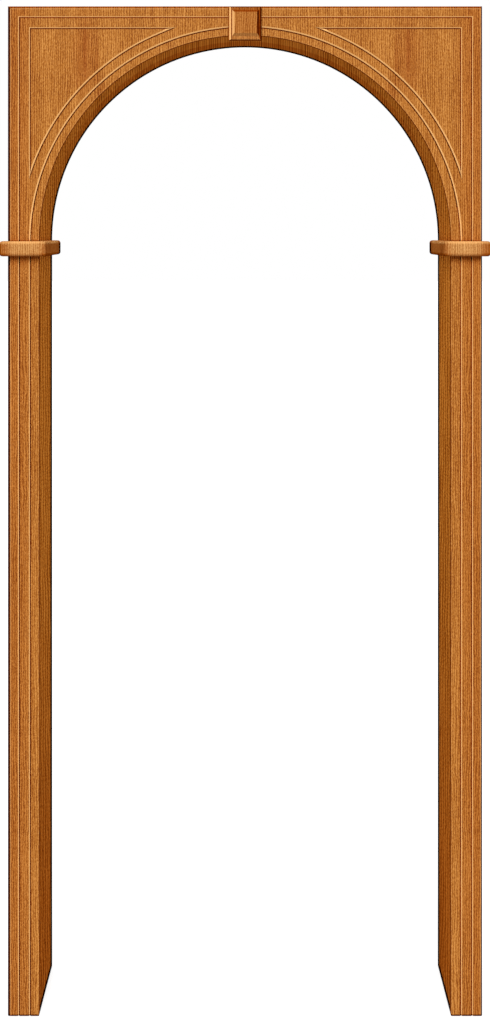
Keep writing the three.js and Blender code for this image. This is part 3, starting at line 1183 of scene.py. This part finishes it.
@dataclass
class Keystone:
    """The square block over the crown: outer bevel, a narrow flat, an inner bevel and a raised field."""

    low: Vector
    high: Vector
    base_height: float = 8 * MM
    outer_rise: float = 4.5 * MM

    # Painted light and shade on the outer bevel, the flat and the inner bevel on the left, top, right
    # and bottom: highlights on the left bevels, shade on the right and the top.
    OUTER_TONES = (1.0, -0.92, -0.9, 0.0)
    FLAT_TONES = (-0.5, -0.25, -0.5, 0.06)
    INNER_TONES = (0.9, -0.55, -0.88, 0.13)
    GRAIN_SHIFT = Vector((0.2, 0.0, 0.0))

    def rings(self) -> list[tuple[tuple[float, ...], float, tuple[float, ...]]]:
        """The rings that the block is built up of, from the back to the raised field.

        Returns:
            Each ring's insets on the left, right, top and bottom, its height, and the tones, painted light
            and shade, on the left, top, right and bottom of what ends there.
        """
        base, depth = self.base_height, self.high.y - self.low.y
        flat = base + self.outer_rise
        outer, level, inner = self.OUTER_TONES, self.FLAT_TONES, self.INNER_TONES
        measured = (
            ((0.0, 0.0, 0.0, 0.0), 0.0, level),
            ((0.0, 0.0, 0.0, 0.0), base, (-0.6, -1.0, -0.9, -0.6)),
            ((1.8, 0.5, 0.5, 0.5), base + 0.6 * MM, (-0.5, -0.92, -0.9, -0.4)),
            ((5.7, 3.0, 2.4, 1.6), flat - 0.2 * MM, outer),
            ((6.0, 3.4, 2.8, 2.0), flat, level),
            ((8.0, 5.4, 8.0, 7.6), flat, level),
            ((8.4, 5.8, 8.4, 8.2), flat + 0.3 * MM, inner),
            ((12.4, 9.6, 12.6, 13.8), depth - 0.3 * MM, inner),
            ((13.4, 10.2, 13.0, 14.4), depth, (0.5, -0.3, -0.5, 0.0)),
        )
        return [(tuple(mm * MM for mm in insets), height, tones) for insets, height, tones in measured]

    def make(self, finishes: Finishes) -> bpy.types.Object:
        """Builds the block.

        Args:
            finishes: The materials.

        Returns:
            The piece.
        """
        shell = Shell("keystone_block")
        rows = []
        for (left, right, top, bottom), height, _ in self.rings():
            x0, x1 = self.low.x + left, self.high.x - right
            z0, z1 = self.low.z + bottom, self.high.z - top
            y = self.high.y - height
            corners = [Vector(c) for c in ((x0, y, z0), (x0, y, z1), (x1, y, z1), (x1, y, z0))]
            rows.append([shell.point(corner, corner + self.GRAIN_SHIFT) for corner in corners])
        for before, after, (_, _, tones) in zip(rows, rows[1:], self.rings()[1:]):
            for i, tone in enumerate(tones):
                corners = (before[i], before[(i + 1) % 4], after[(i + 1) % 4], after[i])
                shell.face(corners, Strip(tone))
        shell.face(rows[0], Strip(surface=Surface.BACKING))
        shell.face(rows[-1], Strip())
        return shell.build((finishes.keystone, finishes.backing))


@dataclass
class Impost:
    """The rounded band round one jamb, open where the wall comes in."""

    doorway: Doorway
    side: int
    low: Vector
    high: Vector
    edge_height: float = 6.5 * MM
    edge_depth: float = 7 * MM
    top_corner: float = 4 * MM
    outer_corner: float = 9 * MM
    corner_steps: int = 10
    edge_steps: int = 8
    far_line: float = 18 * MM

    # Painted shade on the side in the opening, the tone of the black far line, and painted shade on the near
    # face from the opening outwards, each as far as that distance from the middle of the doorway.
    RETURN_TONE, FAR_TONE = -0.42, -1.0
    FACE_TONES = ((0.440, -0.3), (0.447, -0.15), (0.505, 0.0), (0.512, -0.1), (0.519, -0.22),
                  (0.530, -0.36), (1.0, -0.5))
    # Painted shade that the rounded bottom edge adds on its whole height, and at its foot as well.
    BOTTOM_TONE, BOTTOM_FOOT_TONE = -0.15, -0.4
    # Painted highlight that the rounded top edge adds on its upper part, as far down as that share
    # of it, and below.
    TOP_TONE, TOP_SHARE, TOP_LOWER_TONE = 0.45, 0.7, 0.22
    # The share of its painted light and shade that a hidden strip keeps.
    HIDDEN_SHARE = 0.5
    GRAIN_SHIFT = Vector((2.0, 0.0, 0.0))

    def stops(self) -> list[tuple[float, float]]:
        """The rings of the rounded edges.

        Returns:
            Height and inset of each, from the bottom to the top.
        """
        turns = [math.pi / 2 * i / self.edge_steps for i in range(self.edge_steps + 1)]
        lower = [(self.low.z + self.edge_height * (1 - math.cos(t)), self.edge_depth * (1 - math.sin(t)))
                 for t in turns]
        upper = [(self.low.z + self.high.z - z, inset) for z, inset in reversed(lower)]
        return lower + upper

    def ring(self, inset: float) -> list[Flat]:
        """The outside of the band at one inset.

        Args:
            inset: How far it stands back from the widest outline.

        Returns:
            Its points, seen from above, from the wall's near face round to its far face.
        """
        door = self.doorway
        inner, outer = abs(self.low.x), abs(self.high.x)
        near, far = min(inner, outer) + inset, max(inner, outer) - inset
        y = self.high.y - inset
        radius = self.top_corner + self.edge_depth - inset
        wide = radius - self.top_corner + self.outer_corner
        points = [(far, -door.wall_y)]
        corners = ((far - wide, -y + wide, wide, 0.0), (near + radius, -y + radius, radius, -90.0),
                   (near + radius, y - radius, radius, 180.0), (far - wide, y - wide, wide, 90.0))
        for x, centre_y, turn, start in corners:
            for i in range(self.corner_steps + 1):
                angle = math.radians(start - 90 * i / self.corner_steps)
                points.append((x + turn * math.cos(angle), centre_y + turn * math.sin(angle)))
        cuts = [(x, -y) for x, _ in reversed(self.FACE_TONES) if near + radius < x < far - wide]
        first, second = self.corner_steps + 2, 2 * self.corner_steps + 3
        line = (near, y - radius - self.far_line)
        return [*points[:first], *cuts, *points[first:second], line, *points[second:], (far, door.wall_y)]

    def pocket(self) -> list[Flat]:
        """The inner outline, which clears the boards.

        Returns:
            The point of it that belongs to each point of a ring.
        """
        door = self.doorway
        near, far, y = door.inner_x - GLUE_LINE, door.outer_x + GLUE_LINE, door.face_y + GLUE_LINE
        corners = ((far, -y), (near, -y), (near, y), (far, y))
        turned = [corner for corner in corners for _ in range(self.corner_steps + 1)]
        points = [(far, -door.wall_y), *turned, (far, door.wall_y)]
        first, second = self.corner_steps + 2, 2 * self.corner_steps + 3
        middle = (near + far) / 2
        cuts = self.ring(0.0)[first : first + len(self.ring(0.0)) - len(points) - 1]
        beside = [(far if x > middle else near, -y) for x, _ in cuts]
        return [*points[:first], *beside, *points[first:second], (near, y), *points[second:]]

    def tone(self, x: float, y: float, outward: Vector) -> float:
        """The tone at a place on the outside of the band: painted shade, and the black far line.

        Args:
            x: Distance from the middle of the doorway.
            y: Depth.
            outward: The way that the band faces there.

        Returns:
            From -1 to 1.
        """
        facing_opening = outward.x < -0.9
        if facing_opening:
            far_line = self.high.y - self.top_corner - self.edge_depth - self.far_line
            return self.FAR_TONE if y > far_line else self.RETURN_TONE
        return next(tone for end, tone in self.FACE_TONES if x < end)

    def edge_tone(self, k: int, last: int) -> float:
        """What the rounded edges add to the tone: painted highlight on the top one, painted shade on the
        bottom one.

        Args:
            k: Number of the strip, from the bottom.
            last: Number of the last ring.

        Returns:
            The addition.
        """
        low, high = (k - 0.5) / self.edge_steps, (last - 1.5 - k) / self.edge_steps
        if 0 < k <= self.edge_steps:
            return self.BOTTOM_TONE + self.BOTTOM_FOOT_TONE * (1 - low) ** 2
        if last - 1 - self.edge_steps <= k < last - 1:
            return self.TOP_TONE if high < self.TOP_SHARE else self.TOP_LOWER_TONE
        return 0.0

    def make(self, finishes: Finishes) -> bpy.types.Object:
        """Builds the band.

        Args:
            finishes: The materials.

        Returns:
            The piece.
        """
        shell = Shell(f"impost_band_{'left' if self.side < 0 else 'right'}")
        stops, pocket = self.stops(), self.pocket()

        def row(outline: Sequence[Flat], z: float) -> list[int]:
            """The indices of an outline at one height; each band has its own grain."""
            places = [Vector((self.side * x, y, z)) for x, y in outline]
            return [shell.point(p, p + self.GRAIN_SHIFT) for p in places]

        rows = [row(pocket, stops[0][0])]
        rows += [row(self.ring(inset), z) for z, inset in stops]
        rows.append(row(pocket, stops[-1][0]))
        outside, board = self.ring(0.0), (self.doorway.inner_x + self.doorway.outer_x) / 2
        last = len(rows) - 1
        for k, (before, after) in enumerate(zip(rows, rows[1:])):
            hidden = k in (0, last - 1)
            for i in range(len(before) - 1):
                (x0, y0), (x1, y1) = outside[i], outside[i + 1]
                x, y = (x0 + x1) / 2, (y0 + y1) / 2
                away = Vector((y0 - y1, x1 - x0, 0)).normalized()
                away = away if away.dot(Vector((x - board, y, 0))) > 0 else -away
                # Painted light and shade, by where the strip stands and the way that it faces.
                tone = self.tone(x, y, away) + self.edge_tone(k, last)
                strip = Strip(max(-1.0, self.HIDDEN_SHARE * tone if hidden else tone))
                shell.face((before[i], before[i + 1], after[i + 1], after[i]), strip)
        shell.band(rows[-1], rows[0], Strip(surface=Surface.BACKING))
        for end in (0, -1):
            shell.fill([[r[end] for r in rows]], Strip(surface=Surface.BACKING))
        return shell.build((finishes.impost, finishes.backing))


@dataclass
class Reveal:
    """The bent sheet under the arch and the two boards on the jambs."""

    doorway: Doorway
    sheet: float = 8 * MM
    board: float = 10 * MM
    tongue: float = 7 * MM
    dark_line: float = 11 * MM
    foot_line: float = 16 * MM
    sheet_shift: float = 4.0
    # How much the upright grain closes up for each metre of depth, to show as fine as on the boards.
    closing: float = 0.42
    # Tones of painted shade that the near and the far half of the bent sheet come to, and how soon on
    # the way to the crown.
    crown_near: float = -0.08
    crown_far: float = -0.3
    crown_growth: float = 1.3

    def section(self, thickness: float) -> list[Station]:
        """Section through a lining.

        Args:
            thickness: Thickness of the board or the sheet.

        Returns:
            Its stations, from the near edge over the shown side to the far edge and back behind.
        """
        door = self.doorway
        y, wall = door.lining_y, door.wall_y - GLUE_LINE
        behind = min(self.tongue, thickness)
        hidden = Surface.BACKING
        return [
            Station(behind, -y, surface=hidden),
            Station(0.0, -y, surface=hidden),
            Station(0.0, 0.0),
            Station(0.0, y - self.dark_line),
            Station(0.0, y, Shade.BLACKENED),
            Station(behind, y, surface=hidden),
            Station(behind, wall, surface=hidden),
            Station(thickness, wall, surface=hidden),
            Station(thickness, -wall, surface=hidden),
            Station(behind, -wall, surface=hidden),
        ]

    def place(self, shell: Shell, flat: Flat, y: float) -> int:
        """Adds a point of a lining.

        Args:
            shell: The lining.
            flat: The point in the plane of the wall.
            y: Its depth.

        Returns:
            The point's index.
        """
        x, z = flat
        across = x * (1 - self.closing * (y + self.doorway.lining_y))
        return shell.point(Vector((x, y, z)), Vector((self.sheet_shift + across, 0.0, z)))

    def join(self, shell: Shell, rows: Sequence[Sequence[int]], stations: Sequence[Station]) -> None:
        """Joins the rows of a lining and closes both ends.

        Args:
            shell: The lining.
            rows: One row of points for each station.
            stations: The stations, of which the last leads back to the first.
        """
        for i, station in enumerate(stations):
            tone = float(station.shade.value)
            shell.band(rows[i - 1], rows[i], Strip(tone, station.wear, station.surface))
        for end in (0, -1):
            shell.fill([[row[end] for row in rows]], Strip(tone=Shade.SIDE.value))

    def vault(self, finishes: Finishes) -> bpy.types.Object:
        """The bent sheet.

        Args:
            finishes: The materials.

        Returns:
            The piece.
        """
        door = self.doorway
        arch = door.arch_path(door.joint_z + GLUE_LINE / 2)
        stations = self.section(self.sheet)
        shell = Shell("vault_sheet")
        rows = [[self.place(shell, flat, s.y) for flat in parallel(arch, -s.across)] for s in stations]
        self.join(shell, rows, stations)
        shell.faces = [(corners, self.deeper(shell, corners, strip)) for corners, strip in shell.faces]
        return shell.build((finishes.lining, finishes.backing))

    def deeper(self, shell: Shell, corners: Sequence[int], strip: Strip) -> Strip:
        """Paints shade on the sheet, darker towards the crown, and more so on its far half.

        Args:
            shell: The sheet.
            corners: The corners of a face.
            strip: How the face looks.

        Returns:
            How it looks now.
        """
        middle = sum((shell.points[i] for i in corners), Vector()) / len(corners)
        rise = self.crown_growth * (middle.z - self.doorway.spring_z) / self.doorway.inner_x
        share = min(1.0, max(0.0, rise))
        # Painted shade, deeper towards the crown.
        tone = self.crown_far if middle.y > 0 else self.crown_near
        return replace(strip, tone=tone * share) if strip.tone == 0 else strip

    def jamb(self, side: int, finishes: Finishes) -> bpy.types.Object:
        """The board on one jamb.

        Args:
            side: -1 for the left one or 1 for the right one.
            finishes: The materials.

        Returns:
            The piece.
        """
        door = self.doorway
        shell = Shell(f"jamb_board_{'left' if side < 0 else 'right'}")
        stations = self.section(self.board)
        heights = (0.0, self.foot_line, door.joint_z - GLUE_LINE / 2)
        rows = [[self.place(shell, (side * (door.inner_x + s.across), z), s.y) for z in heights]
                for s in stations]
        self.join(shell, rows, stations)
        foot = {row[0] for row in rows}
        for i, (corners, strip) in enumerate(shell.faces):
            if foot & set(corners):
                shell.faces[i] = (corners, replace(strip, tone=Shade.BLACKENED.value))
        return shell.build((finishes.lining, finishes.backing))


@dataclass(frozen=True)
class Sun:
    """A distant light: the way that it shines, its strength and its spread in degrees."""

    name: str
    towards: tuple[float, float, float]
    strength: float
    spread: float


@dataclass(frozen=True)
class Studio:
    """The floor, the lights and the camera, which aren't part of the object."""

    doorway: Doorway
    # Rows of the picture at the top of the boards, at their feet and level with the camera.
    top_px: float = 6.2
    bottom_px: float = 1016.0
    eye_px: float = 228.0
    # Column of the picture in the middle of the doorway.
    centre_px: float = 245.0
    # From the camera to the face of the boards.
    distance: float = 2.165
    floor_size: float = 60.0
    sensor_mm: float = 36.0
    clip_end: float = 200.0
    # Strength of the white surroundings as they light the object, and as the camera sees them.
    sky: Span = (0.6, 1.0)
    suns: tuple[Sun, ...] = (
        Sun("key", towards=(0.0, 1.0, -0.7), strength=2.35, spread=30.0),
        Sun("far_side", towards=(0.12, -1.0, -0.5), strength=1.3, spread=40.0),
    )

    def make(self) -> None:
        """Builds the whole studio."""
        self.floor()
        self.world()
        self.lights()
        self.camera()
        scene = bpy.context.scene
        scene.view_settings.view_transform = "Standard"
        scene.view_settings.look = "None"

    def floor(self) -> None:
        """A large pale floor at the feet of the object."""
        half = self.floor_size / 2
        mesh = bpy.data.meshes.new("studio_floor")
        corners = [(-half, -half, 0), (half, -half, 0), (half, half, 0), (-half, half, 0)]
        mesh.from_pydata(corners, [], [(0, 1, 2, 3)])
        mesh.materials.append(PaleFloor().make())
        floor = bpy.data.objects.new("studio_floor", mesh)
        bpy.context.scene.collection.objects.link(floor)

    def world(self) -> None:
        """White surroundings that light the object softly."""
        world = bpy.data.worlds.new("studio")
        world.use_nodes = True
        tree = world.node_tree
        tree.nodes.clear()
        ray = add_node(tree, "ShaderNodeLightPath", {}, {})
        strength = remap(tree, ray.outputs["Is Camera Ray"], (0.0, 1.0), self.sky)
        back = add_node(tree, "ShaderNodeBackground", {},
                        {"Color": (1.0, 1.0, 1.0, 1.0), "Strength": strength})
        add_node(tree, "ShaderNodeOutputWorld", {}, {"Surface": back.outputs[0]})
        bpy.context.scene.world = world

    def lights(self) -> None:
        """A soft key from the front and above, and a weaker one from behind for the far side."""
        for sun in self.suns:
            light = bpy.data.lights.new(sun.name, "SUN")
            light.energy = sun.strength
            light.angle = math.radians(sun.spread)
            lamp = bpy.data.objects.new(sun.name, light)
            lamp.rotation_euler = Vector(sun.towards).to_track_quat("-Z", "Y").to_euler()
            bpy.context.scene.collection.objects.link(lamp)

    def camera(self) -> None:
        """A level camera on the middle of the doorway, shifted to the picture's frame."""
        door = self.doorway
        per_px = door.top_z / (self.bottom_px - self.top_px)
        focal_px = self.distance / per_px
        data = bpy.data.cameras.new("camera")
        data.sensor_fit = "AUTO"
        data.sensor_width = self.sensor_mm
        data.lens = focal_px * self.sensor_mm / FRAME_HEIGHT_PX
        data.shift_x = (FRAME_WIDTH_PX / 2 - self.centre_px) / FRAME_HEIGHT_PX
        data.shift_y = (self.eye_px - FRAME_HEIGHT_PX / 2) / FRAME_HEIGHT_PX
        data.clip_end = self.clip_end
        eye = bpy.data.objects.new("camera", data)
        eye.location = (0.0, -door.face_y - self.distance, (self.bottom_px - self.eye_px) * per_px)
        eye.rotation_euler = (math.pi / 2, 0.0, 0.0)
        bpy.context.scene.collection.objects.link(eye)
        bpy.context.scene.camera = eye


def attach(piece: bpy.types.Object, node: str) -> None:
    """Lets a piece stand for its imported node.

    Args:
        piece: The piece.
        node: The node's name.
    """
    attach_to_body(piece, "root")
    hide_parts(node)
    log.info("%s stands for %s with %d faces", piece.name, node, len(piece.data.polygons))


def main() -> None:
    """Builds the object and its studio."""
    logging.basicConfig(level=logging.INFO, format="%(name)s: %(message)s")
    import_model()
    doorway = Doorway.from_frame()
    finishes = Finishes.make()

    front = FaceBoards(doorway, routed=True, place="front")
    rear = FaceBoards(doorway, routed=False, place="rear")
    attach(front.head(finishes), "head_panel_front")
    attach(front.side_board(-1, finishes), "pilaster_front_left")
    attach(front.side_board(1, finishes), "pilaster_front_right")
    attach(rear.head(finishes), "head_panel_rear")
    attach(rear.side_board(1, finishes), "pilaster_rear_left")
    attach(rear.side_board(-1, finishes), "pilaster_rear_right")

    attach(Keystone(*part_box("keystone")).make(finishes), "keystone")
    for side, name in ((-1, "impost_left"), (1, "impost_right")):
        attach(Impost(doorway, side, *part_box(name)).make(finishes), name)

    reveal = Reveal(doorway)
    attach(reveal.vault(finishes), "vault_lining")
    attach(reveal.jamb(-1, finishes), "jamb_lining_left")
    attach(reveal.jamb(1, finishes), "jamb_lining_right")

    Studio(doorway).make()


if __name__ == "__main__":
    main()
